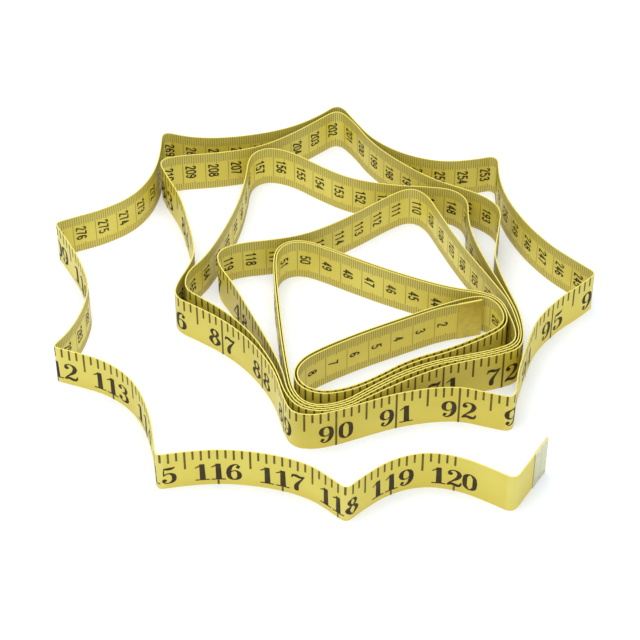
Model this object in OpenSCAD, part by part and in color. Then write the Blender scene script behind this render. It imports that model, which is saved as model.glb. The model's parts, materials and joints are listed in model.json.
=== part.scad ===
// Soft measuring tape, folded by hand into a loose heap that stands on its edge.
// The ribbon is one strip. It is cut at its creases into runs, so that each run
// stays a simple wall and the last creases can open as hinges.

/* [Ribbon] */
// width of the ribbon, which is its height as it stands on edge
ribbon_w = 20; // [12:0.5:30]
// thickness of the coated fibreglass ribbon
ribbon_t = 0.45; // [0.3:0.05:0.55]

/* [Heap] */
// overall width of the folded heap, left to right
heap_w = 224.8; // [210:0.2:280]

/* [Creases] */
// gap left in the ribbon at each crease that opens
hinge_gap = 0.8; // [0.6:0.1:1]

/* [End tips] */
// length of ribbon that each folded metal tip covers
tip_l = 10; // [6:0.5:12]
// thickness of the tips' sheet metal
tip_t = 0.3; // [0.2:0.05:0.35]

/* [Hidden] */
// Middle line of the ribbon seen from above, from its inner end to its outer end.
// [x, y] is a soft bend and [x, y, cut] rounds a crease over the distance cut.
INNER_TURNS = [
    [65.3, -7.9], [48, -12.5, 6], [32, -20], [16, -27.5], [1, -36], [-6.5, -41.5],
    [-9.5, -48], [-7, -54.5], [0, -58.2], [10, -56.5], [20, -51.5], [35, -41],
    [51, -35], [65, -27.5], [72.8, -22],
    [74, -16], [71, -8.6], [64.5, -4.8], [48, -11], [32, -18.5], [16, -26],
    [0.5, -34.5], [-7.5, -40.5],
    [-10.8, -48], [-8.2, -55.6], [0, -59.6], [10.5, -58], [20.5, -53], [35.5, -42.6],
    [51, -37], [66, -29], [74.2, -22.9],
    [75.2, -16], [72.2, -7.6], [65, -4.1], [52, -1.6], [32, 6.5], [16, 14.5], [4, 21],
    [-5, 25.6], [-12, 26],
    [-17.5, 21.5], [-18.3, 12], [-16.5, -10], [-14.3, -32], [-12.3, -47], [-10.6, -57],
    [-6.5, -63.4], [0.5, -65.6], [10, -62.9], [17, -57.5], [31.5, -47.5], [46, -41.2],
    [59, -38.3], [70, -35.2], [76.8, -31.8],
];
MIDDLE_TURNS = [
    [78.2, -26], [76.1, -16.4], [73, -7.1], [65.7, -3.2], [52.4, -0.7], [32.4, 7.4],
    [16.4, 15.4], [4.3, 21.9], [-4.8, 26.5], [-12.5, 26.9],
    [-18.4, 21.9], [-19.2, 12], [-17.4, -10], [-15.2, -32], [-13.2, -47], [-11.5, -57.4],
    [-7.1, -64.2], [0.5, -66.5], [10.4, -63.9], [17.5, -58.6], [32, -48.5],
    [46.3, -42.2], [59.2, -39.3], [70.4, -36.2], [77.7, -32.7],
    [79.6, -26], [78, -16], [75.8, -8], [72.8, -2], [66.8, 9], [58.3, 24.5],
    [50.4, 42.5], [45, 55.5],
    [38, 59.3], [29, 54], [16.8, 44.5], [4, 35.8], [-8, 29.8], [-21, 27], [-34, 25.2],
    [-42.5, 20.5], [-41.5, 12], [-36, 3], [-28, -14.5], [-20, -32.5], [-14.8, -46],
    [-12.7, -57.8],
    [-7.8, -65.4], [0.5, -67.6], [10.8, -64.9], [18, -59.6], [32.5, -49.6],
    [46.6, -43.2], [59.4, -40.2], [70.8, -37.2], [78.5, -33.6],
];
OUTER_TURNS = [
    [80.4, -26.5], [79.2, -16], [77, -8.5], [74.2, -1], [69, 12], [64, 27], [61.8, 40],
    [62.6, 51.5],
    [56.5, 58.2], [46, 59.7], [30, 60.8], [13, 64.8], [0, 72.8], [-12, 82], [-23, 85.3],
    [-30.5, 80], [-31.5, 66], [-34.5, 49], [-41, 30.5], [-47.5, 16.5], [-54.5, 8],
    [-55, -1.5], [-47.5, -7], [-38, -14.5], [-28, -25.5], [-20.5, -39], [-16.6, -48],
    [-13.8, -58.5],
    [-8.6, -66.3], [0.5, -68.7], [11.2, -65.9], [18.5, -61], [32.5, -52.6],
    [47, -45.2], [59.6, -41.2], [71.2, -38.3], [79.4, -34.8],
    [81.3, -27], [80.3, -15.5], [78, -7], [75.6, 0.5], [72.6, 12], [72, 20], [74.5, 34],
    [76.2, 46.5],
    [69, 54.5], [58, 59.8], [47, 65.2], [33, 76.5], [22, 88.5], [15, 101.5],
    [8, 110.5], [0, 103.8], [-12, 94], [-26, 85.2], [-44, 81.3], [-60, 79.8],
    [-69.5, 77], [-66, 68], [-59, 54], [-55, 37.5], [-52, 24], [-52.2, 15], [-58.8, 0.5],
    [-58.5, -6.5], [-50, -11.5], [-38, -19.8], [-28, -30], [-21, -41], [-17, -50],
    [-14.8, -59.5],
    [-11.4, -69], [-3, -70.6], [6, -68.4], [18, -63.6], [31, -58.7], [45, -56],
    [56, -55.8], [66, -59],
];
FREE_TURN = [
    [75.6, -61.5, 4], [77.5, -48], [79.6, -40.5], [82.6, -31], [87, -18.5],
    [97, -6.5], [106, 0.8],
    [112.8, 7.5, 2.5], [104, 15.5], [95, 24.2], [86, 37], [79, 52], [76.3, 65],
    [76.5, 79.8, 5], [66, 77], [52, 75.5], [36, 80.5], [23, 90.2], [15.5, 102],
    [8.5, 114.5, 7], [0, 106.3], [-12, 98.5], [-27, 93.6], [-44, 91], [-57, 91.8],
    [-68.6, 95.5, 4.5], [-68.8, 84], [-69.8, 74], [-73, 63.5], [-80, 53], [-92, 45.2],
    [-103, 40.8],
    [-110.6, 37.4, 2], [-104.5, 26.5], [-98.5, 15], [-93.6, 0], [-95.2, -13],
    [-99.5, -25],
    [-105.8, -34, 2], [-96, -37.3], [-85, -41.5], [-75, -49.5], [-68.8, -60], [-64.6, -74],
    [-62.4, -91, 2.5], [-52, -89], [-36, -87.6], [-18, -90.2], [-4, -95.3], [4, -102],
    [9.8, -107.4, 3], [17, -100.5], [27, -92.8], [40, -89], [53, -91.4], [64, -97],
    [73.3, -102.7, 4], [77.5, -96.2, 4], [86.5, -82],
];
// corners where one run ends and the next starts, counted within each list
INNER_CREASES = [6, 15, 23, 32, 41, 47];
MIDDLE_CREASES = [0, 10, 16, 25, 33, 40, 47];
OUTER_CREASES = [0, 8, 15, 21, 28, 37, 45, 51, 57, 64, 71];
FREE_CREASES = [0, 7, 13, 19, 25, 32, 38, 44, 50, 56];
// steps along each bend
STEPS = 4;
// the last creases open, and the ones before them stay folded
OPENING_CREASES = 8;

// the whole middle line, its creases and the runs between them
LINE = concat(INNER_TURNS, MIDDLE_TURNS, OUTER_TURNS, FREE_TURN);
MIDDLE_AT = len(INNER_TURNS);
OUTER_AT = MIDDLE_AT + len(MIDDLE_TURNS);
FREE_AT = OUTER_AT + len(OUTER_TURNS);
CREASES = concat(
    INNER_CREASES,
    [for (c = MIDDLE_CREASES) MIDDLE_AT + c],
    [for (c = OUTER_CREASES) OUTER_AT + c],
    [for (c = FREE_CREASES) FREE_AT + c]
);
RUN_ENDS = concat([0], CREASES, [len(LINE) - 1]);
RUN_COUNT = len(RUN_ENDS) - 1;
COIL_COUNT = RUN_COUNT - OPENING_CREASES;

// point and left-hand normal of the bend a-b-c at t
function bend(a, b, c, t) =
    let (
        p = a * (1 - t) * (1 - t) + b * 2 * t * (1 - t) + c * t * t,
        d = (b - a) * (1 - t) + (c - b) * t
    ) [p, [-d.y, d.x] / norm(d)];
// plan position of corner i
function corner(i) = [LINE[i].x, LINE[i].y];
// where the bend at corner i starts, on its side facing corner j
function bend_start(i, j) =
    let (
        reach = corner(j) - corner(i),
        half = norm(reach) / 2,
        cut = is_undef(LINE[i][2]) ? half : min(half, LINE[i][2])
    ) corner(i) + reach * cut / norm(reach);
// samples of the bend at corner i, from t0 to t1
function bend_samples(i, t0, t1) = [
    for (k = [0:STEPS])
    let (t = k / STEPS)
    if (t >= t0 && t <= t1)
    bend(bend_start(i, i - 1), corner(i), bend_start(i, i + 1), t)
];
// sample at the free end e, which faces corner j, with the line running along dir
function end_sample(e, dir) = [corner(e), [-dir.y, dir.x] / norm(dir)];
// samples of run r, without repeated points
function run_samples(r) =
    let (
        i = RUN_ENDS[r],
        j = RUN_ENDS[r + 1],
        first = i == 0 ? [end_sample(0, corner(1) - corner(0))] : bend_samples(i, 0.5, 1),
        last = j == len(LINE) - 1
            ? [end_sample(j, corner(j) - corner(j - 1))] : bend_samples(j, 0, 0.5),
        middle = [for (m = [i + 1:j - 1]) each bend_samples(m, 0, 1)],
        whole = concat(first, middle, last)
    ) [for (k = [0:len(whole) - 1])
        if (k == 0 || norm(whole[k][0] - whole[k - 1][0]) > 0.01) whole[k]];

RUNS = [for (r = [0:RUN_COUNT - 1]) run_samples(r)];
XS = [for (run = RUNS, q = run) q[0].x];
YS = [for (run = RUNS, q = run) q[0].y];
HEAP_SCALE = (heap_w - ribbon_t) / (max(XS) - min(XS));
HEAP_MIDDLE = [max(XS) + min(XS), max(YS) + min(YS)] / 2;
// plan point p at full size, counted from the middle of the heap
function placed(p) = (p - HEAP_MIDDLE) * HEAP_SCALE;

// sample q moved by gap towards the next one
function shortened(q, next, gap) =
    [q[0] + (next[0] - q[0]) / norm(next[0] - q[0]) * gap, q[1]];
// run r at full size, shortened by half the hinge gap at each crease that opens
function full_run(r) =
    let (
        run = [for (q = RUNS[r]) [placed(q[0]), q[1]]],
        n = len(run),
        gap = hinge_gap / 2,
        opens_before = r >= COIL_COUNT,
        opens_after = r >= COIL_COUNT - 1 && r < RUN_COUNT - 1
    ) concat(
        [opens_before ? shortened(run[0], run[1], gap) : run[0]],
        [for (k = [1:n - 2]) run[k]],
        [opens_after ? shortened(run[n - 1], run[n - 2], gap) : run[n - 1]]
    );

COIL_RUNS = [for (r = [1:COIL_COUNT]) str("coil_run_", r < 10 ? "0" : "", r)];
LOOSE_RUNS = [for (r = [1:OPENING_CREASES]) str("loose_run_", r)];

// one run of the ribbon, a thin wall on its edge
module ribbon_run(r) {
    run = full_run(r);
    left = [for (q = run) q[0] + q[1] * ribbon_t / 2];
    right = [for (k = [len(run) - 1:-1:0]) run[k][0] - run[k][1] * ribbon_t / 2];
    color("gold")
    linear_extrude(ribbon_w)
    polygon(concat(left, right));
}

// sheet metal folded over the end of the ribbon at p, which points along dir
module tip(p, dir) {
    color("silver")
    translate([p.x, p.y, 0])
    rotate(atan2(dir.y, dir.x))
    linear_extrude(ribbon_w)
    difference() {
        translate([-tip_l, -ribbon_t / 2 - tip_t])
        square([tip_l + tip_t, ribbon_t + 2 * tip_t]);
        translate([-tip_l - tip_t, -ribbon_t / 2])
        square([tip_l + tip_t, ribbon_t]);
    }
}

module inner_tip() {
    tip(placed(corner(0)), corner(0) - corner(1));
}

module outer_tip() {
    e = len(LINE) - 1;
    tip(placed(corner(e)), corner(e) - corner(e - 1));
}

for (r = [0:COIL_COUNT - 1])
    ribbon_run(r);
for (r = [0:OPENING_CREASES - 1])
    ribbon_run(COIL_COUNT + r);
inner_tip();
outer_tip();
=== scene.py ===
"""A soft measuring tape: a printed yellow ribbon, folded into a loose heap on its edge."""
import json
import math

import bpy
import numpy as np
from bpy.props import FloatProperty, FloatVectorProperty, PointerProperty
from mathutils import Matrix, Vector


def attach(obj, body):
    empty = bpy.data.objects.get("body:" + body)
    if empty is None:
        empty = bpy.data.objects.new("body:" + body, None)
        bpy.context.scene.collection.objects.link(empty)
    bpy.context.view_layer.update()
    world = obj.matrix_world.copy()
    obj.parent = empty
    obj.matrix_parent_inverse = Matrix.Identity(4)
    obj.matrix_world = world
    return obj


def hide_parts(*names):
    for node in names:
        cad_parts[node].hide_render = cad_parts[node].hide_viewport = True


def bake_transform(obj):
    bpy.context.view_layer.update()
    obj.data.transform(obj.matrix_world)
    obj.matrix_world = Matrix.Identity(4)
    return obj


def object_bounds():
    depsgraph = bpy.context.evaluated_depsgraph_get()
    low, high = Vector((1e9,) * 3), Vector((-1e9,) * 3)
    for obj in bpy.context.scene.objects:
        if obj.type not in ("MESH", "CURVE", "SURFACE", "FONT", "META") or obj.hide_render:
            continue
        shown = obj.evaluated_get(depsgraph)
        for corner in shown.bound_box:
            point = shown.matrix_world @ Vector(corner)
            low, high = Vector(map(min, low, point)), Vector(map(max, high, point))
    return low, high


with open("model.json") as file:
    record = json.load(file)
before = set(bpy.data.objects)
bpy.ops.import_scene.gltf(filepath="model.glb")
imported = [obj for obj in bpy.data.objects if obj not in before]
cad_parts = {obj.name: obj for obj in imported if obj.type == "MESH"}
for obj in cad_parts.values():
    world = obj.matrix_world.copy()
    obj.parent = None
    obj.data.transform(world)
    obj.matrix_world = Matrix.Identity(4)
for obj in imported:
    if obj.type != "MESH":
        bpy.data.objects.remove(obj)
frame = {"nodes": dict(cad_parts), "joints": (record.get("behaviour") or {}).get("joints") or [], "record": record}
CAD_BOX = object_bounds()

bl_info = {
    "name": "Folded Measuring Tape",
    "version": (1, 0, 0),
    "blender": (4, 5, 0),
    "location": "View3D > Sidebar > Tape",
    "description": "Builds a printed measuring ribbon in a loose heap, and a studio stage",
    "category": "Object",
}

MM = 0.001
INCH = 25.4 * MM
CM = 10 * MM

# ---------------------------------------------------------------- the ribbon's route

# Middle line of the ribbon seen from above, in plan millimetres, from its inner end to its
# outer end. (x, y) is a soft bend and (x, y, cut) rounds a crease over the distance cut.
INNER_TURNS = [
    (65.3, -7.9), (48, -12.5, 6), (32, -20), (16, -27.5), (1, -36), (-6.5, -41.5),
    (-9.5, -48), (-7, -54.5), (0, -58.2), (10, -56.5), (20, -51.5), (35, -41),
    (51, -35), (65, -27.5), (72.8, -22),
    (74, -16), (71, -8.6), (64.5, -4.8), (48, -11), (32, -18.5), (16, -26),
    (0.5, -34.5), (-7.5, -40.5),
    (-10.8, -48), (-8.2, -55.6), (0, -59.6), (10.5, -58), (20.5, -53), (35.5, -42.6),
    (51, -37), (66, -29), (74.2, -22.9),
    (75.2, -16), (72.2, -7.6), (65, -4.1), (52, -1.6), (32, 6.5), (16, 14.5), (4, 21),
    (-5, 25.6), (-12, 26),
    (-17.5, 21.5), (-18.3, 12), (-16.5, -10), (-14.3, -32), (-12.3, -47), (-10.6, -57),
    (-6.5, -63.4), (0.5, -65.6), (10, -62.9), (17, -57.5), (31.5, -47.5), (46, -41.2),
    (59, -38.3), (70, -35.2), (76.8, -31.8),
]
MIDDLE_TURNS = [
    (78.2, -26), (76.1, -16.4), (73, -7.1), (65.7, -3.2), (52.4, -0.7), (32.4, 7.4),
    (16.4, 15.4), (4.3, 21.9), (-4.8, 26.5), (-12.5, 26.9),
    (-18.4, 21.9), (-19.2, 12), (-17.4, -10), (-15.2, -32), (-13.2, -47), (-11.5, -57.4),
    (-7.1, -64.2), (0.5, -66.5), (10.4, -63.9), (17.5, -58.6), (32, -48.5),
    (46.3, -42.2), (59.2, -39.3), (70.4, -36.2), (77.7, -32.7),
    (79.6, -26), (78, -16), (75.8, -8), (72.8, -2), (66.8, 9), (58.3, 24.5),
    (50.4, 42.5), (45, 55.5),
    (38, 59.3), (29, 54), (16.8, 44.5), (4, 35.8), (-8, 29.8), (-21, 27), (-34, 25.2),
    (-42.5, 20.5), (-41.5, 12), (-36, 3), (-28, -14.5), (-20, -32.5), (-14.8, -46),
    (-12.7, -57.8),
    (-7.8, -65.4), (0.5, -67.6), (10.8, -64.9), (18, -59.6), (32.5, -49.6),
    (46.6, -43.2), (59.4, -40.2), (70.8, -37.2), (78.5, -33.6),
]
OUTER_TURNS = [
    (80.4, -26.5), (79.2, -16), (77, -8.5), (74.2, -1), (69, 12), (64, 27), (61.8, 40),
    (62.6, 51.5),
    (56.5, 58.2), (46, 59.7), (30, 60.8), (13, 64.8), (0, 72.8), (-12, 82), (-23, 85.3),
    (-30.5, 80), (-31.5, 66), (-34.5, 49), (-41, 30.5), (-47.5, 16.5), (-54.5, 8),
    (-55, -1.5), (-47.5, -7), (-38, -14.5), (-28, -25.5), (-20.5, -39), (-16.6, -48),
    (-13.8, -58.5),
    (-8.6, -66.3), (0.5, -68.7), (11.2, -65.9), (18.5, -61), (32.5, -52.6),
    (47, -45.2), (59.6, -41.2), (71.2, -38.3), (79.4, -34.8),
    (81.3, -27), (80.3, -15.5), (78, -7), (75.6, 0.5), (72.6, 12), (72, 20), (74.5, 34),
    (76.2, 46.5),
    (69, 54.5), (58, 59.8), (47, 65.2), (33, 76.5), (22, 88.5), (15, 101.5),
    (8, 110.5), (0, 103.8), (-12, 94), (-26, 85.2), (-44, 81.3), (-60, 79.8),
    (-69.5, 77), (-66, 68), (-59, 54), (-55, 37.5), (-52, 24), (-52.2, 15), (-58.8, 0.5),
    (-58.5, -6.5), (-50, -11.5), (-38, -19.8), (-28, -30), (-21, -41), (-17, -50),
    (-14.8, -59.5),
    (-11.4, -69), (-3, -70.6), (6, -68.4), (18, -63.6), (31, -58.7), (45, -56),
    (56, -55.8), (66, -59),
]
FREE_TURN = [
    (75.6, -61.5, 4), (77.5, -48), (79.6, -40.5), (82.6, -31), (87, -18.5),
    (97, -6.5), (106, 0.8),
    (112.8, 7.5, 2.5), (104, 15.5), (95, 24.2), (86, 37), (79, 52), (76.3, 65),
    (76.5, 79.8, 5), (66, 77), (52, 75.5), (36, 80.5), (23, 90.2), (15.5, 102),
    (8.5, 114.5, 7), (0, 106.3), (-12, 98.5), (-27, 93.6), (-44, 91), (-57, 91.8),
    (-68.6, 95.5, 4.5), (-68.8, 84), (-69.8, 74), (-73, 63.5), (-80, 53), (-92, 45.2),
    (-103, 40.8),
    (-110.6, 37.4, 2), (-104.5, 26.5), (-98.5, 15), (-93.6, 0), (-95.2, -13),
    (-99.5, -25),
    (-105.8, -34, 2), (-96, -37.3), (-85, -41.5), (-75, -49.5), (-68.8, -60), (-64.6, -74),
    (-62.4, -91, 2.5), (-52, -89), (-36, -87.6), (-18, -90.2), (-4, -95.3), (4, -102),
    (9.8, -107.4, 3), (17, -100.5), (27, -92.8), (40, -89), (53, -91.4), (64, -97),
    (73.3, -102.7, 4), (77.5, -96.2, 4), (86.5, -82),
]
# corners of the free turn that open as hinges
OPENING_CREASES = (13, 19, 25, 32, 38, 44, 50, 56)
# two of those hinges, far apart, whose packed joints give the plan's scale and place
FIXING_HINGES = (0, 4)
BEND_STEPS = 40
# plan points closer than this are one point
SAME_POINT = 1e-9


def bend_start(line, cuts, i, j):
    """Where the bend at corner i begins on its side facing corner j."""
    reach = line[j] - line[i]
    half = np.linalg.norm(reach) / 2
    return line[i] + reach * min(half, cuts[i] or half) / np.linalg.norm(reach)


def plan_curve(corners):
    """The soft curve through the corners' bends, and the index of each corner's middle on it."""
    line = [np.array(c[:2], float) for c in corners]
    cuts = [c[2] if len(c) > 2 else None for c in corners]
    points, middles = [line[0]], {}
    for i in range(1, len(line) - 1):
        a, c = bend_start(line, cuts, i, i - 1), bend_start(line, cuts, i, i + 1)
        for k in range(BEND_STEPS + 1):
            t = k / BEND_STEPS
            p = a * (1 - t) ** 2 + line[i] * 2 * t * (1 - t) + c * t * t
            if np.linalg.norm(p - points[-1]) > SAME_POINT:
                points.append(p)
            if k == BEND_STEPS // 2:
                middles[i] = len(points) - 1
    return np.array(points + [line[-1]]), middles


class Route:
    """The ribbon's middle line at full size: places, directions and creases by running length."""

    def __init__(self):
        corners = INNER_TURNS + MIDDLE_TURNS + OUTER_TURNS + FREE_TURN
        free_at = len(corners) - len(FREE_TURN)
        plan, middles = plan_curve(corners)
        hinges = [middles[free_at + c] for c in OPENING_CREASES]
        near, far = (plan[hinges[k]] for k in FIXING_HINGES)
        near_joint, far_joint = (np.array(frame["joints"][k]["pos_m"][:2]) for k in FIXING_HINGES)
        self.scale = np.linalg.norm(far_joint - near_joint) / np.linalg.norm(far - near)
        self.plan_anchor, self.anchor = near, near_joint
        self.xy = (plan - near) * self.scale + near_joint
        step = np.diff(self.xy, axis=0)
        self.at = np.r_[0, np.cumsum(np.hypot(*step.T))]
        self.heading_at = (self.at[:-1] + self.at[1:]) / 2
        self.heading = np.unwrap(np.arctan2(step[:, 1], step[:, 0]))
        self.length = self.at[-1]
        self.hinges = self.at[hinges]

    def frame_at(self, s):
        """Points on the middle line and left-hand normals at running lengths s."""
        s = np.clip(np.asarray(s, float), 0, self.length)
        x = np.interp(s, self.at, self.xy[:, 0])
        y = np.interp(s, self.at, self.xy[:, 1])
        angle = np.interp(s, self.heading_at, self.heading)
        return np.stack([x, y], -1), np.stack([-np.sin(angle), np.cos(angle)], -1)

    def place(self, s, side, z):
        """Points in space at running length s, side metres to the left and z up."""
        p, n = self.frame_at(s)
        xy = p + n * np.asarray(side)[..., None]
        return np.concatenate([xy, np.broadcast_to(z, xy.shape[:-1])[..., None]], -1)

    def turn_at(self, s, reach=2 * MM):
        """How sharply the ribbon turns around s, in radians over twice the reach."""
        lo, hi = (np.interp(s + d, self.heading_at, self.heading) for d in (-reach, reach))
        return np.abs(hi - lo)


ROUTE = Route()
WIDTH = CAD_BOX[1][2] - CAD_BOX[0][2]
COIL_NODES = [n for n in frame["record"]["behaviour"]["bodies"]["coil"] if n.startswith("coil_run")]
LOOSE_COUNT = len(frame["joints"])
# the ribbon is made in tiles: the first lies in the coil, and each of the others crosses one
# hinge and ends half way to the next, or at the ribbon's end
FIRST_TILE_END = ROUTE.hinges[0] - 40 * MM
TILE_ENDS = np.r_[0, FIRST_TILE_END, (ROUTE.hinges[:-1] + ROUTE.hinges[1:]) / 2, ROUTE.length]


# ---------------------------------------------------------------- digits drawn with a pen

# Each digit is a list of pen strokes in units of its height: (x, y, pen radius) along the
# stroke. A stroke of two points is straight, and one that ends where it began is a ring.
FAT_DIGIT_WIDTH = 0.66
FAT_DIGITS = {
    "0": [[(.33, .96, .034), (.52, .80, .09), (.555, .5, .105), (.52, .2, .09), (.33, .04, .034),
           (.14, .2, .09), (.105, .5, .105), (.14, .8, .09), (.33, .96, .034)]],
    "1": [[(.08, .79, .03), (.18, .85, .034), (.30, .94, .05)]],
    "2": [[(.15, .75, .105), (.14, .76, .10)],
          [(.09, .80, .05), (.16, .92, .038), (.33, .965, .035), (.50, .87, .08),
           (.535, .71, .10), (.46, .52, .08), (.27, .32, .045), (.12, .17, .035),
           (.07, .07, .035)],
          [(.07, .06, .05), (.22, .13, .075), (.42, .075, .085), (.56, .10, .06),
           (.62, .27, .028)]],
    "3": [[(.14, .79, .095), (.13, .79, .09)],
          [(.08, .84, .04), (.17, .94, .034), (.32, .965, .034), (.48, .87, .08),
           (.50, .74, .09), (.43, .60, .06), (.27, .54, .03)],
          [(.27, .54, .03), (.46, .47, .06), (.545, .30, .105), (.49, .12, .08),
           (.32, .035, .034), (.16, .06, .034), (.07, .16, .04)],
          [(.14, .21, .095), (.13, .21, .09)]],
    "4": [[(.42, .96, .032), (.05, .30, .032)], [(.05, .29, .034), (.63, .29, .034)]],
    "5": [[(.14, .91, .04), (.29, .90, .075), (.45, .91, .07), (.57, .97, .03)],
          [(.13, .94, .03), (.11, .52, .03)],
          [(.11, .50, .03), (.22, .59, .035), (.36, .61, .04), (.51, .50, .09),
           (.545, .32, .105), (.49, .13, .08), (.32, .035, .034), (.16, .06, .034),
           (.07, .16, .04)],
          [(.14, .21, .095), (.13, .21, .09)]],
    "6": [[(.49, .80, .085), (.48, .80, .08)],
          [(.56, .86, .03), (.41, .965, .034), (.22, .85, .07), (.12, .62, .10),
           (.105, .36, .105), (.16, .13, .08), (.33, .035, .034), (.50, .14, .08),
           (.55, .32, .10), (.50, .50, .07), (.36, .585, .03), (.23, .53, .03),
           (.16, .42, .03)]],
    "7": [[(.07, .76, .028), (.09, .93, .04)],
          [(.10, .90, .055), (.26, .92, .085), (.42, .88, .075), (.56, .93, .045),
           (.62, .97, .03)],
          [(.60, .93, .03), (.47, .70, .045), (.33, .46, .075), (.26, .24, .105),
           (.27, .11, .108)]],
    "8": [[(.33, .965, .034), (.47, .87, .07), (.48, .70, .07), (.33, .56, .05),
           (.18, .70, .07), (.19, .87, .07), (.33, .965, .034)],
          [(.33, .55, .035), (.50, .43, .08), (.545, .26, .10), (.33, .035, .034),
           (.115, .26, .10), (.16, .43, .08), (.33, .55, .035)]],
}
# square stems and feet: (x0, y0, x1, y1)
FAT_BARS = {
    "1": [(.24, .03, .45, .995), (.06, 0, .63, .065)],
    "4": [(.36, .03, .55, .99), (.23, 0, .66, .06)],
}
# plain digits are drawn with one pen radius, so their points are (x, y)
PLAIN_DIGIT_WIDTH = 0.52
PLAIN_PEN = .088
PLAIN_DIGITS = {
    "0": [[(.26, .93), (.45, .78), (.45, .22), (.26, .07), (.07, .22), (.07, .78), (.26, .93)]],
    "1": [[(.12, .77), (.29, .93)], [(.29, .93), (.29, .07)]],
    "2": [[(.08, .76), (.13, .89), (.27, .93), (.42, .85), (.43, .68), (.30, .45), (.09, .10)],
          [(.09, .07), (.45, .07)]],
    "3": [[(.08, .82), (.20, .93), (.39, .87), (.42, .70), (.25, .54)],
          [(.25, .54), (.44, .43), (.45, .20), (.26, .07), (.08, .18)]],
    "4": [[(.36, .07), (.36, .93)], [(.36, .93), (.06, .30)], [(.06, .30), (.48, .30)]],
    "5": [[(.43, .93), (.12, .93)], [(.12, .93), (.10, .54)],
          [(.10, .54), (.28, .60), (.45, .45), (.45, .20), (.27, .07), (.08, .16)]],
    "6": [[(.42, .84), (.27, .93), (.11, .74), (.07, .32), (.26, .07), (.45, .21), (.44, .42),
           (.27, .55), (.09, .42)]],
    "7": [[(.06, .93), (.46, .93)], [(.46, .93), (.29, .50), (.20, .07)]],
    "8": [[(.26, .93), (.42, .83), (.41, .64), (.26, .54), (.11, .64), (.10, .83), (.26, .93)],
          [(.26, .54), (.45, .40), (.45, .19), (.26, .07), (.07, .19), (.07, .40), (.26, .54)]],
}
# pen marks between two points of a curved stroke, and along a straight one
CURVE_MARKS = 10
STRAIGHT_MARKS = 40


def half_turned(strokes, width):
    """The same strokes turned upside down, as a 9 is a turned 6."""
    return [[(width - p[0], 1 - p[1], *p[2:]) for p in stroke] for stroke in strokes]


FAT_DIGITS["9"] = half_turned(FAT_DIGITS["6"], FAT_DIGIT_WIDTH)
PLAIN_DIGITS["9"] = half_turned(PLAIN_DIGITS["6"], PLAIN_DIGIT_WIDTH)


def pen_dots(stroke):
    """Round pen marks (x, y, r) close together along a stroke."""
    p = np.array([q if len(q) == 3 else (*q, PLAIN_PEN) for q in stroke], float)
    if len(p) == 2:
        t = np.linspace(0, 1, STRAIGHT_MARKS)[:, None]
        return p[0] * (1 - t) + p[1] * t
    ring = np.allclose(p[0], p[-1])
    before = p[-2] if ring else 2 * p[0] - p[1]
    after = p[1] if ring else 2 * p[-1] - p[-2]
    q = np.vstack([before, p, after])
    dots = []
    # a smooth cubic from b to c, whose slope at each end follows the points either side
    for a, b, c, d in zip(q, q[1:], q[2:], q[3:]):
        for t in np.arange(CURVE_MARKS) / CURVE_MARKS:
            dots.append(0.5 * (2 * b + (c - a) * t + (2 * a - 5 * b + 4 * c - d) * t * t
                               + (3 * b - a - 3 * c + d) * t ** 3))
    return np.array(dots + [p[-1]])


def spans(dots, bars, u):
    """The inked stretches (low, high) across a column at u, merged where they meet."""
    near = dots[np.abs(dots[:, 0] - u) < dots[:, 2]]
    half = np.sqrt(near[:, 2] ** 2 - (near[:, 0] - u) ** 2)
    found = [*zip(near[:, 1] - half, near[:, 1] + half)]
    found += [(y0, y1) for x0, y0, x1, y1 in bars if x0 <= u <= x1]
    merged = []
    for low, high in sorted(found):
        if merged and low <= merged[-1][1]:
            merged[-1][1] = max(merged[-1][1], high)
        else:
            merged.append([low, high])
    return merged


def digit_patches(strokes, bars, column):
    """Four-cornered patches (u, v) that fill a digit, in columns of the given width along u."""
    dots = np.vstack([pen_dots(s) for s in strokes])
    low = min([*(dots[:, 0] - dots[:, 2]), *(b[0] for b in bars)])
    high = max([*(dots[:, 0] + dots[:, 2]), *(b[2] for b in bars)])
    edges = np.linspace(low, high, max(2, round((high - low) / column)) + 1)
    inset = 1e-3 * column
    patches = []
    for u0, u1 in zip(edges[:-1], edges[1:]):
        left, middle, right = (spans(dots, bars, u)
                               for u in (u0 + inset, (u0 + u1) / 2, u1 - inset))
        # where a stroke starts or ends inside the column, its middle stands for both sides
        if not len(left) == len(middle) == len(right):
            left = right = middle
        for (a, b), (c, d) in zip(left, right):
            patches.append([(u0, a), (u1, c), (u1, d), (u0, b)])
    return np.array(patches)


FAT_COLUMN = .03
PLAIN_COLUMN = .045
FAT_PATCHES = {
    digit: digit_patches(strokes, FAT_BARS.get(digit, []), FAT_COLUMN)
    for digit, strokes in FAT_DIGITS.items()
}
# plain digits lie on their sides, so their columns run the other way
PLAIN_PATCHES = {
    digit: digit_patches([[(y, x) for x, y in stroke] for stroke in strokes], [], PLAIN_COLUMN)
    for digit, strokes in PLAIN_DIGITS.items()
}

# ---------------------------------------------------------------- the two printed scales

# A mark is the running length of its middle and its patches (s, z), so that it can be given to
# the tile that it lies on.
# how far the print stands proud of the vinyl
INK_LIFT = 0.03 * MM
# widest patch of a printed line, so that it follows the ribbon's bends
TICK_COLUMN = 0.45 * MM
INCHES = 120
CENTIMETRES = 304


def bar(s, width, z0, z1):
    """Patches (s, z) of one upright printed line, centred on s."""
    cuts = np.linspace(s - width / 2, s + width / 2, math.ceil(width / TICK_COLUMN) + 1)
    return [[(a, z0), (b, z0), (b, z1), (a, z1)] for a, b in zip(cuts[:-1], cuts[1:])]


INCH_DIGIT_HEIGHT = 9.5 * MM
INCH_DIGIT_FOOT = 2.7 * MM
INCH_DIGIT_GAP = 0.5 * MM
INCH_TICK = 0.85 * MM
# the inner tip covers the lines before this one
FIRST_EIGHTH = 3
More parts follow.
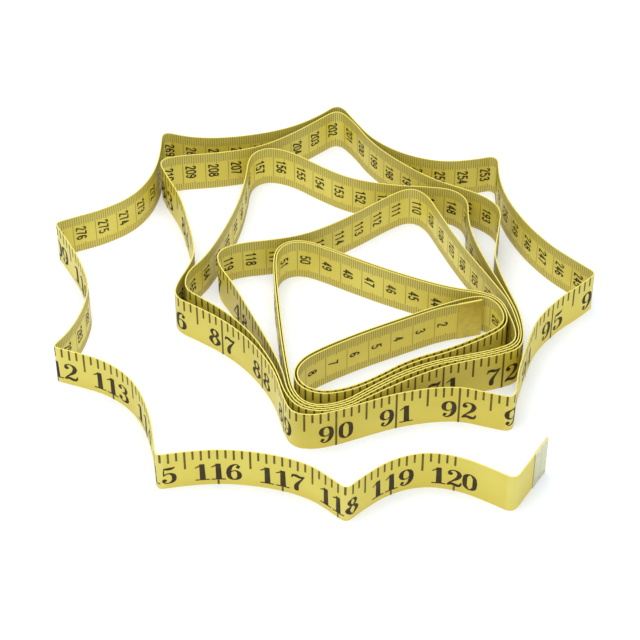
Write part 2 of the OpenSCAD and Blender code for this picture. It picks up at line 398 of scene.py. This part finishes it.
# share of the ribbon's width that the line at each eighth covers, from the upper edge down
EIGHTHS = (1.0, .24, .28, .24, .5, .24, .28, .24)
# from this inch on, the whole inch's line is broken where its number stands, between these
# shares of the width
BROKEN_FROM = 100
BROKEN_UPPER = .73
BROKEN_LOWER = .13


def inch_number(n):
    """Patches of the number at inch n: two digits stand either side of its line, three across."""
    width = FAT_DIGIT_WIDTH * INCH_DIGIT_HEIGHT
    clear = INCH_DIGIT_GAP + INCH_TICK / 2
    starts = (-clear - width, clear)
    if n >= BROKEN_FROM:
        starts = (-1.5 * width, -0.5 * width, 0.5 * width)
    return np.concatenate([
        FAT_PATCHES[digit] * INCH_DIGIT_HEIGHT + [n * INCH + start, INCH_DIGIT_FOOT]
        for digit, start in zip(str(n), starts)])


def inch_numbers():
    """A mark for every number on the outer face."""
    return [(n * INCH, inch_number(n)) for n in range(1, INCHES + 1)]


def inch_lines():
    """A mark for every line on the outer face, one at each eighth of an inch."""
    lines = []
    for k in range(FIRST_EIGHTH, INCHES * 8 + 1):
        s = k * INCH / 8
        if k % 8 == 0 and k >= BROKEN_FROM * 8:
            lines.append((s, bar(s, INCH_TICK, WIDTH * BROKEN_UPPER, WIDTH)))
            lines.append((s, bar(s, INCH_TICK, 0, WIDTH * BROKEN_LOWER)))
        else:
            lines.append((s, bar(s, INCH_TICK, WIDTH * (1 - EIGHTHS[k % 8]), WIDTH)))
    return lines


CM_DIGIT_HEIGHT = 4.6 * MM
CM_DIGIT_STRETCH = 0.86
CM_DIGIT_STEP = 2.5 * MM
CM_DIGIT_BEFORE = 3.5 * MM
MM_TICK = 0.36 * MM
CM_LINE = 0.32 * MM
# the inner tip covers the first centimetre
FIRST_MM = 11
FIRST_CM_NUMBER = 2
# millimetre lines fill both edges of the ribbon, and every fifth one is longer
UPPER_TICK_FOOT = .755
LOWER_TICK_TOP = .2
FIFTH_EXTRA = 0.8 * MM


def cm_number(n):
    """Patches of the number before centimetre n, which reads from the upper edge down."""
    text = str(n)
    patches = []
    for k, digit in enumerate(text):
        p = PLAIN_PATCHES[digit] * CM_DIGIT_HEIGHT
        top = WIDTH / 2 + len(text) * CM_DIGIT_STEP / 2 - k * CM_DIGIT_STEP
        s = n * CM - CM_DIGIT_BEFORE + CM_DIGIT_HEIGHT / 2 - p[..., 0]
        patches.append(np.stack([s, top - p[..., 1] * CM_DIGIT_STRETCH], -1))
    return np.concatenate(patches)


def cm_numbers():
    """A mark for every number on the inner face."""
    return [(n * CM, cm_number(n)) for n in range(FIRST_CM_NUMBER, CENTIMETRES + 1)]


def cm_lines():
    """A mark for every line on the inner face: whole centimetres cross it."""
    lines = []
    for k in range(FIRST_MM, CENTIMETRES * 10 + 1):
        s = k * MM
        if k % 10 == 0:
            lines.append((s, bar(s, CM_LINE, 0, WIDTH)))
            continue
        extra = FIFTH_EXTRA if k % 5 == 0 else 0
        lines.append((s, bar(s, MM_TICK, WIDTH * UPPER_TICK_FOOT - extra, WIDTH)))
        lines.append((s, bar(s, MM_TICK, 0, WIDTH * LOWER_TICK_TOP + extra)))
    return lines


# ---------------------------------------------------------------- meshes of one tile

# spacing of the rings of points along the ribbon
STATION = 0.5 * MM
# the turn, in radians, that counts as a full crease
FULL_CREASE = 0.9


def new_piece(name, vertices, faces, material, uvs=None):
    """A mesh object, with the (s, z) of each vertex in metres where it lies on the ribbon."""
    mesh = bpy.data.meshes.new(name)
    mesh.from_pydata(vertices.tolist(), [], faces.tolist())
    if uvs is not None:
        layer = mesh.uv_layers.new(name="strip")
        loops = np.zeros(len(mesh.loops), int)
        mesh.loops.foreach_get("vertex_index", loops)
        layer.data.foreach_set("uv", uvs[loops].astype(np.float32).ravel())
    piece = bpy.data.objects.new(name, mesh)
    bpy.context.scene.collection.objects.link(piece)
    mesh.materials.append(material)
    return piece


def ribbon_mesh(name, s0, s1, thickness, material):
    """A closed strip from s0 to s1: outer face, top edge, inner face and bottom edge."""
    s = np.linspace(s0, s1, max(2, round((s1 - s0) / STATION)) + 1)
    half = thickness / 2
    corners = [(-half, 0), (-half, WIDTH), (half, WIDTH), (half, 0)]
    rings = np.stack([ROUTE.place(s, np.full(len(s), side), z) for side, z in corners], 1)
    uvs = np.stack([np.stack([s, np.full(len(s), z)], -1) for _, z in corners], 1)
    n = len(s)
    i = np.arange(n - 1)[:, None] * 4
    k = np.arange(4)[None, :]
    quads = np.stack([i + k, i + 4 + k, i + 4 + (k + 1) % 4, i + (k + 1) % 4], -1).reshape(-1, 4)
    caps = np.array([[0, 1, 2, 3], [4 * n - 1, 4 * n - 2, 4 * n - 3, 4 * n - 4]])
    piece = new_piece(name, rings.reshape(-1, 3), np.vstack([quads, caps]), material,
                      uvs.reshape(-1, 2))
    mesh = piece.data
    mesh.polygons.foreach_set("use_smooth", np.ones(len(mesh.polygons), bool))
    ends = np.zeros(len(mesh.edges) * 2, int)
    mesh.edges.foreach_get("vertices", ends)
    ends = ends.reshape(-1, 2)
    # the four long edges and the outlines of both ends stay sharp
    sharp = ends[:, 0] % 4 == ends[:, 1] % 4
    sharp |= (ends < 4).all(1) | (ends >= 4 * n - 4).all(1)
    mesh.attributes.new("sharp_edge", "BOOLEAN", "EDGE").data.foreach_set("value", sharp)
    inner = mesh.attributes.new("inner", "FLOAT", "POINT")
    inner.data.foreach_set("value", np.tile([0, 0, 1, 1], n).astype(np.float32))
    turn = np.clip(ROUTE.turn_at(s) / FULL_CREASE, 0, 1)
    creased = mesh.attributes.new("crease", "FLOAT", "POINT")
    creased.data.foreach_set("value", np.repeat(turn, 4).astype(np.float32))
    return piece


def print_mesh(name, marks, side, thickness, material):
    """The marks as patches of ink just proud of one face: side is 1 inside, -1 outside."""
    patches = np.concatenate([np.asarray(p) for _, p in marks])
    if side > 0:
        patches = patches[:, ::-1]
    s, z = patches.reshape(-1, 2).T
    points = ROUTE.place(s, np.full(len(s), side * (thickness / 2 + INK_LIFT)), z)
    faces = np.arange(len(points)).reshape(-1, 4)
    return new_piece(name, points, faces, material, np.stack([s, z], -1))


# ---------------------------------------------------------------- materials


class Wire:
    """A value on its way through a material's nodes, with plain arithmetic."""

    def __init__(self, maker, socket):
        self.maker, self.socket = maker, socket

    def _math(self, operation, *values):
        return self.maker.node("ShaderNodeMath", {"operation": operation}, dict(enumerate(values)))

    def __add__(self, other):
        return self._math("ADD", self, other)

    def __radd__(self, other):
        return self._math("ADD", other, self)

    def __sub__(self, other):
        return self._math("SUBTRACT", self, other)

    def __rsub__(self, other):
        return self._math("SUBTRACT", other, self)

    def __mul__(self, other):
        return self._math("MULTIPLY", self, other)

    def __rmul__(self, other):
        return self._math("MULTIPLY", other, self)

    def __truediv__(self, other):
        return self._math("DIVIDE", self, other)

    def sine(self):
        return self._math("SINE", self)

    def absolute(self):
        return self._math("ABSOLUTE", self)

    def ramp(self, low, high):
        """0 below low, 1 above high and smooth between them."""
        return self.maker.node("ShaderNodeMapRange", {"interpolation_type": "SMOOTHSTEP"},
                               {"Value": self, "From Min": low, "From Max": high})


class Maker:
    """Builds one material from nodes."""

    def __init__(self, name):
        self.material = bpy.data.materials.new(name)
        self.material.use_nodes = True
        self.tree = self.material.node_tree
        self.tree.nodes.clear()

    def node(self, kind, settings=None, values=None, out=0):
        """One node: its settings first, then its sockets' values or links; gives its output."""
        made = self.tree.nodes.new(kind)
        for key, value in (settings or {}).items():
            setattr(made, key, value)
        for key, value in (values or {}).items():
            if isinstance(value, Wire):
                self.tree.links.new(value.socket, made.inputs[key])
            else:
                made.inputs[key].default_value = value
        return Wire(self, made.outputs[out]) if made.outputs else None

    def mix(self, factor, a, b):
        """Colour a where factor is 0 and colour b where it is 1."""
        return self.node("ShaderNodeMix", {"data_type": "RGBA"}, {0: factor, 6: a, 7: b}, out=2)

    def noise(self, where, scale, detail, rough=0.5):
        """Soft random values around 0.5."""
        return self.node("ShaderNodeTexNoise", None,
                         {"Vector": where, "Scale": scale, "Detail": detail, "Roughness": rough})

    def strip(self):
        """Running length and height on the ribbon, in metres."""
        strip = self.node("ShaderNodeUVMap", {"uv_map": "strip"})
        parts = self.node("ShaderNodeSeparateXYZ", None, {0: strip}).socket.node
        return Wire(self, parts.outputs[0]), Wire(self, parts.outputs[1])

    def space(self):
        """The point in space, in metres."""
        return self.node("ShaderNodeTexCoord", out=3)

    def attribute(self, name):
        """A number that the mesh carries at each point."""
        return self.node("ShaderNodeAttribute", {"attribute_name": name}, out=2)

    def surface(self, color, roughness, height, strength, distance, **fixed):
        """Ends the material in one Principled shader, bumped by height."""
        bump = self.node("ShaderNodeBump", None,
                         {"Strength": strength, "Distance": distance, "Height": height})
        values = {"Base Color": color, "Roughness": roughness, "Normal": bump}
        values.update({key.replace("_", " "): value for key, value in fixed.items()})
        shader = self.node("ShaderNodeBsdfPrincipled", None, values)
        self.node("ShaderNodeOutputMaterial", None, {"Surface": shader})
        return self.material


def rgba(color):
    """A colour property as a shader's colour."""
    return (*color[:3], 1.0)


def vinyl(look):
    """Yellow coated fibreglass: faint weave, uneven tint, a painted highlight along the edges and paler creases.
    """
    m = Maker("yellow_vinyl")
    where = m.space()
    s, z = m.strip()
    height = z / WIDTH
    crease = m.attribute("crease")
    inner = m.attribute("inner").ramp(0.45, 0.55)
    cloud = m.noise(where, 28, 4, 0.55)
    fine = m.noise(where, 900, 2, 0.6)
    tint = m.mix(cloud.ramp(0.32, 0.68), rgba(look.vinyl_color), rgba(look.vinyl_deep_color))
    # the inner face is tinted under both rows of millimetre lines
    band = height.ramp(0.76, 0.79) + (1 - height.ramp(0.17, 0.2))
    tint = m.mix(band * inner * 0.4, tint, rgba(look.band_color))
    # a warmer lower edge, then a painted highlight on both rims, then paler creases, then a fine grain
    low_edge = 1 - height.ramp(0.0, 0.35)
    tint = m.mix(low_edge * 0.35, tint, rgba(look.vinyl_warm_color))
    # painted highlight: the edge faces and a thin strip of each face along both edges are mixed towards the pale
    # colour, as if light caught them
    painted_rim_highlight = ((height - 0.5).absolute() * 2).ramp(0.93, 1.0)
    tint = m.mix(painted_rim_highlight * 0.15, tint, rgba(look.vinyl_pale_color))
    tint = m.mix(crease.ramp(0.35, 1.0) * 0.2, tint, rgba(look.vinyl_pale_color))
    tint = m.mix((fine - 0.5).absolute() * 0.25, tint, rgba(look.vinyl_deep_color))
    thread = 2 * math.pi / (look.weave_pitch * MM)
    weave = (s * thread).sine() * (z * thread).sine() * 0.5 + 0.5
    roughness = 0.36 + cloud * 0.14 + crease * 0.08 + fine * 0.06
    return m.surface(tint, roughness, weave * 0.5 + fine * 0.5, 0.22, 0.00006,
                     Coat_Weight=0.15, Coat_Roughness=0.25, Specular_IOR_Level=0.4)


def ink(name, color, worn_color, wear):
    """Printing ink, rubbed a little thinner in patches so that the vinyl tints it."""
    m = Maker(name)
    where = m.space()
    patchy = m.noise(where, 160, 4, 0.6)
    grain = m.noise(where, 2600, 2, 0.7)
    rubbed = (patchy.ramp(0.45, 0.75) * 0.6 + grain.ramp(0.5, 0.8) * 0.4) * wear
    tint = m.mix(rubbed, rgba(color), rgba(worn_color))
    return m.surface(tint, 0.55 + grain * 0.2, grain, 0.15, 0.00003, Specular_IOR_Level=0.15)


def tip_metal(name, color, dark_color, roughness):
    """Thin folded sheet metal: fine rolling marks and darker smudges."""
    m = Maker(name)
    where = m.space()
    stretched = m.node("ShaderNodeVectorMath", {"operation": "MULTIPLY"},
                       {0: where, 1: (1, 1, 0.06)})
    lines = m.noise(stretched, 5200, 2, 0.6)
    smudge = m.noise(where, 420, 4, 0.6)
    tint = m.mix(smudge.ramp(0.35, 0.75), rgba(color), rgba(dark_color))
    tint = m.mix(lines * 0.25, tint, rgba(dark_color))
    return m.surface(tint, roughness + smudge * 0.2, lines * 0.6 + smudge * 0.4, 0.25, 0.00005,
                     Metallic=0.85)


def studio_paper(look):
    """Pale matt studio paper with a trace of unevenness."""
    m = Maker("studio_paper")
    cloud = m.noise(m.space(), 3, 2)
    tint = m.mix(cloud * 0.06, rgba(look.floor_color), rgba(look.floor_deep_color))
    return m.surface(tint, 0.75 + cloud * 0.05, cloud, 0.02, 0.0005, Specular_IOR_Level=0.2,
                     Emission_Color=(0.95, 0.975, 1, 1), Emission_Strength=look.floor_glow)


# ---------------------------------------------------------------- sizes and colours to change


class TapeSettings(bpy.types.PropertyGroup):
    """Sizes and colours of the ribbon, its print and its tips."""
    thickness: FloatProperty(
        name="Ribbon thickness", description="Thickness of the coated ribbon",
        default=0.45 * MM, min=0.3 * MM, max=0.55 * MM, unit="LENGTH", precision=5)
    weave_pitch: FloatProperty(
        name="Weave pitch", description="Pitch of the fibreglass weave in millimetres",
        default=0.7, min=0.3, max=1.5)
    crease_reach: FloatProperty(
        name="Crease reach", description="Length of ribbon that bends either side of a crease",
        default=3.5 * MM, min=1 * MM, max=8 * MM, unit="LENGTH", precision=4)
    vinyl_color: FloatVectorProperty(
        name="Vinyl", description="Main colour of the ribbon", subtype="COLOR",
        default=(0.70, 0.60, 0.085), min=0, max=1)
    vinyl_deep_color: FloatVectorProperty(
        name="Vinyl, deeper", description="Colour of the ribbon where its tint is stronger",
        subtype="COLOR", default=(0.65, 0.54, 0.055), min=0, max=1)
    vinyl_warm_color: FloatVectorProperty(
        name="Vinyl, warm", description="Warmer tint towards the lower edge", subtype="COLOR",
        default=(0.72, 0.53, 0.06), min=0, max=1)
    # pale colour of the painted highlight on the rims, and also the paler tint of creases
    vinyl_pale_color: FloatVectorProperty(
        name="Vinyl, pale", description="Paler tint at rims and creases", subtype="COLOR",
        default=(0.86, 0.80, 0.30), min=0, max=1)
    band_color: FloatVectorProperty(
        name="Millimetre bands", description="Tint under the millimetre lines on the inner face",
        subtype="COLOR", default=(0.50, 0.43, 0.10), min=0, max=1)
    inch_color: FloatVectorProperty(
        name="Inch numbers", description="Ink of the inch numbers", subtype="COLOR",
        default=(0.044, 0.029, 0.013), min=0, max=1)
    tick_color: FloatVectorProperty(
        name="Inch lines", description="Ink of the inch lines", subtype="COLOR",
        default=(0.125, 0.088, 0.022), min=0, max=1)
    cm_color: FloatVectorProperty(
        name="Centimetre numbers", description="Ink of the centimetre numbers", subtype="COLOR",
        default=(0.035, 0.025, 0.006), min=0, max=1)
    cm_tick_color: FloatVectorProperty(
        name="Centimetre lines", description="Ink of the millimetre and centimetre lines",
        subtype="COLOR", default=(0.33, 0.28, 0.08), min=0, max=1)
    inner_tip_color: FloatVectorProperty(
        name="Inner tip", description="Colour of the inner end's metal", subtype="COLOR",
        default=(0.60, 0.48, 0.085), min=0, max=1)
    inner_tip_dark_color: FloatVectorProperty(
        name="Inner tip, darker", description="Colour of the inner end's smudges",
        subtype="COLOR", default=(0.50, 0.40, 0.075), min=0, max=1)
    inner_tip_roughness: FloatProperty(
        name="Inner tip roughness", description="Roughness where the inner end is cleanest",
        default=0.38, min=0, max=1)
    outer_tip_color: FloatVectorProperty(
        name="Outer tip", description="Colour of the outer end's metal", subtype="COLOR",
        default=(0.64, 0.63, 0.41), min=0, max=1)
    outer_tip_dark_color: FloatVectorProperty(
        name="Outer tip, darker", description="Colour of the outer end's smudges",
        subtype="COLOR", default=(0.50, 0.50, 0.33), min=0, max=1)
    outer_tip_roughness: FloatProperty(
        name="Outer tip roughness", description="Roughness where the outer end is cleanest",
        default=0.34, min=0, max=1)


class StageSettings(bpy.types.PropertyGroup):
    """The studio: floor, lights and camera."""
    floor_color: FloatVectorProperty(
        name="Floor", description="Colour of the floor", subtype="COLOR",
        default=(0.63, 0.655, 0.70), min=0, max=1)
    floor_deep_color: FloatVectorProperty(
        name="Floor, deeper", description="Colour of the floor's faint clouds", subtype="COLOR",
        default=(0.58, 0.605, 0.65), min=0, max=1)
    sky: FloatProperty(
        name="Surrounding light", description="Strength of the even light all round",
        default=0.82, min=0, max=3)
    floor_glow: FloatProperty(
        name="Floor glow", description="Light that comes up through the floor",
        default=0.3, min=0, max=2)
    key: FloatProperty(
        name="Overhead light", description="Power of the soft light overhead",
        default=2.3, min=0, max=200, subtype="POWER")
    fill: FloatProperty(
        name="Front light", description="Power of the large soft light in front",
        default=1.8, min=0, max=200, subtype="POWER")
    lens: FloatProperty(
        name="Lens", description="Focal length of the camera in millimetres",
        default=127.2, min=50, max=250)


# ---------------------------------------------------------------- operators


def body_names():
    """The coil's body and then each loose run's, from the coil outward."""
    return ["coil"] + [j["child"] for j in frame["joints"]]


def ride_or_bend(piece, tile):
    """Tile 0 rides on the coil; each later tile only has its placement baked into its mesh."""
    names = body_names()
    if tile == 0:
        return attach(piece, names[0])
    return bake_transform(piece)


def in_tile(marks, tile):
    """The marks whose middles lie on a tile."""
    low, high = TILE_ENDS[tile], TILE_ENDS[tile + 1]
    return [m for m in marks if low <= m[0] < high]


def tile_nodes(tile):
    """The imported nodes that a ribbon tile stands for."""
    return COIL_NODES if tile == 0 else [f"loose_run_{tile}"]


def print_scale(scale, marks_of, ink_of, side, look):
    """Prints a scale's lines and numbers on every tile; side is 1 inside, -1 outside."""
    for tile in range(LOOSE_COUNT + 1):
        for kind, marks in marks_of.items():
            here = in_tile(marks, tile)
            if not here:
                continue
            piece = print_mesh(f"{scale}_{kind}_{tile}", here, side, look.thickness, ink_of[kind])
            ride_or_bend(piece, tile)


class TAPE_OT_ribbon(bpy.types.Operator):
    """Makes the yellow ribbon in tiles, each bending across one crease"""
    bl_idname = "tape.ribbon"
    bl_label = "Ribbon"

    def execute(self, context):
        look = context.scene.tape
        material = vinyl(look)
        for tile in range(LOOSE_COUNT + 1):
            s0, s1 = TILE_ENDS[tile], TILE_ENDS[tile + 1]
            piece = ribbon_mesh(f"ribbon_{tile}", s0, s1, look.thickness, material)
            ride_or_bend(piece, tile)
            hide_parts(*tile_nodes(tile))
        return {"FINISHED"}


class TAPE_OT_inch_scale(bpy.types.Operator):
    """Prints the inch lines and numbers on the outer face"""
    bl_idname = "tape.inch_scale"
    bl_label = "Inch scale"

    def execute(self, context):
        look = context.scene.tape
        inks = {
            "lines": ink("olive_line_ink", look.tick_color, look.vinyl_deep_color, 0.25),
            "numbers": ink("brown_number_ink", look.inch_color, look.tick_color, 0.6),
        }
        print_scale("inch", {"lines": inch_lines(), "numbers": inch_numbers()}, inks, -1, look)
        return {"FINISHED"}


class TAPE_OT_cm_scale(bpy.types.Operator):
    """Prints the millimetre and centimetre lines and numbers on the inner face"""
    bl_idname = "tape.cm_scale"
    bl_label = "Centimetre scale"

    def execute(self, context):
        look = context.scene.tape
        inks = {
            "lines": ink("olive_millimetre_ink", look.cm_tick_color, look.vinyl_deep_color, 0.3),
            "numbers": ink("dark_number_ink", look.cm_color, look.cm_tick_color, 0.5),
        }
        print_scale("cm", {"lines": cm_lines(), "numbers": cm_numbers()}, inks, 1, look)
        return {"FINISHED"}


class TAPE_OT_declare(bpy.types.Operator):
    """An empty step: it changes nothing."""
    bl_idname = "tape.declare"
    bl_label = "Declare sheets"

    def execute(self, context):
        return {"FINISHED"}


class TAPE_OT_tips(bpy.types.Operator):
    """Gives the two folded metal tips their finishes"""
    bl_idname = "tape.tips"
    bl_label = "End tips"

    def execute(self, context):
        look = context.scene.tape
        finishes = {
            "inner_tip": tip_metal("golden_tip", look.inner_tip_color, look.inner_tip_dark_color,
                                   look.inner_tip_roughness),
            "outer_tip": tip_metal("tinned_tip", look.outer_tip_color, look.outer_tip_dark_color,
                                   look.outer_tip_roughness),
        }
        for node, material in finishes.items():
            for slot in frame["nodes"][node].material_slots:
                slot.material = material
        return {"FINISHED"}


FLOOR_HALF = 2.5
SKY_COLOR = (0.97, 0.985, 1.0, 1.0)
OVERHEAD_PLACE = (-0.06, -0.03, 0.5)
OVERHEAD_SIZE = 0.45
FRONT_PLACE = (0.2, -1.34, 1.48)
FRONT_SIZE = 0.95
FRONT_COLOR = (1.0, 0.985, 0.95)
# where the camera stands and what it looks at, in plan millimetres of the route
CAMERA_PLAN = (0, -651.8, 666.3)
AIM_PLAN = (0, 0, 0)
SENSOR_WIDTH = 36
CAMERA_REACH = (0.05, 20)


def stand(name, data, place, aim):
    """A light or camera at place, turned towards aim."""
    thing = bpy.data.objects.new(name, data)
    bpy.context.scene.collection.objects.link(thing)
    thing.location = place
    thing.rotation_euler = (Vector(aim) - Vector(place)).to_track_quat("-Z", "Y").to_euler()
    return thing


def area_light(name, place, size, power, color=(1, 1, 1)):
    """A square soft light at place, turned towards the middle of the heap."""
    data = bpy.data.lights.new(name, "AREA")
    data.shape = "SQUARE"
    data.size = size
    data.energy = power
    data.color = color
    stand(name, data, place, (0, 0, 0))


def from_plan(point):
    """A plan point in millimetres as a place in the frame."""
    x, y = (np.array(point[:2]) - ROUTE.plan_anchor) * ROUTE.scale + ROUTE.anchor
    return Vector((x, y, point[2] * ROUTE.scale))


class TAPE_OT_stage(bpy.types.Operator):
    """Sets the pale floor, the soft lights and the camera"""
    bl_idname = "tape.stage"
    bl_label = "Stage"

    def execute(self, context):
        look = context.scene.tape_stage
        h = FLOOR_HALF
        corners = np.array([(-h, -h, 0), (h, -h, 0), (h, h, 0), (-h, h, 0)], float)
        floor = new_piece("floor", corners, np.array([[0, 1, 2, 3]]), studio_paper(look))
        world = bpy.data.worlds.new("studio")
        world.use_nodes = True
        sky = world.node_tree.nodes["Background"]
        sky.inputs["Color"].default_value = SKY_COLOR
        sky.inputs["Strength"].default_value = look.sky
        context.scene.world = world
        area_light("overhead", OVERHEAD_PLACE, OVERHEAD_SIZE, look.key)
        area_light("front", FRONT_PLACE, FRONT_SIZE, look.fill, FRONT_COLOR)
        lens = bpy.data.cameras.new("camera")
        lens.lens = look.lens
        lens.sensor_width = SENSOR_WIDTH
        lens.clip_start, lens.clip_end = CAMERA_REACH
        context.scene.camera = stand("camera", lens, from_plan(CAMERA_PLAN), from_plan(AIM_PLAN))
        context.scene.view_settings.view_transform = "Standard"
        return {"FINISHED"}


class TAPE_PT_panel(bpy.types.Panel):
    """Lists the tape's sizes, colours and steps"""
    bl_idname = "TAPE_PT_panel"
    bl_label = "Measuring tape"
    bl_space_type = "VIEW_3D"
    bl_region_type = "UI"
    bl_category = "Tape"

    def draw(self, context):
        for group in (context.scene.tape, context.scene.tape_stage):
            for name in group.bl_rna.properties.keys():
                if name not in ("rna_type", "name"):
                    self.layout.prop(group, name)
        for step in STEPS:
            self.layout.operator(step.bl_idname)


STEPS = (TAPE_OT_stage, TAPE_OT_ribbon, TAPE_OT_inch_scale, TAPE_OT_cm_scale, TAPE_OT_tips,
         TAPE_OT_declare)
CLASSES = (TapeSettings, StageSettings, *STEPS, TAPE_PT_panel)


def register():
    """Adds the settings, the steps and the panel to Blender."""
    for cls in CLASSES:
        bpy.utils.register_class(cls)
    bpy.types.Scene.tape = PointerProperty(type=TapeSettings)
    bpy.types.Scene.tape_stage = PointerProperty(type=StageSettings)


def unregister():
    """Takes them away again."""
    del bpy.types.Scene.tape_stage
    del bpy.types.Scene.tape
    for cls in reversed(CLASSES):
        bpy.utils.unregister_class(cls)


def main():
    register()
    for step in STEPS:
        group, name = step.bl_idname.split(".")
        getattr(getattr(bpy.ops, group), name)()


if __name__ == "__main__":
    main()
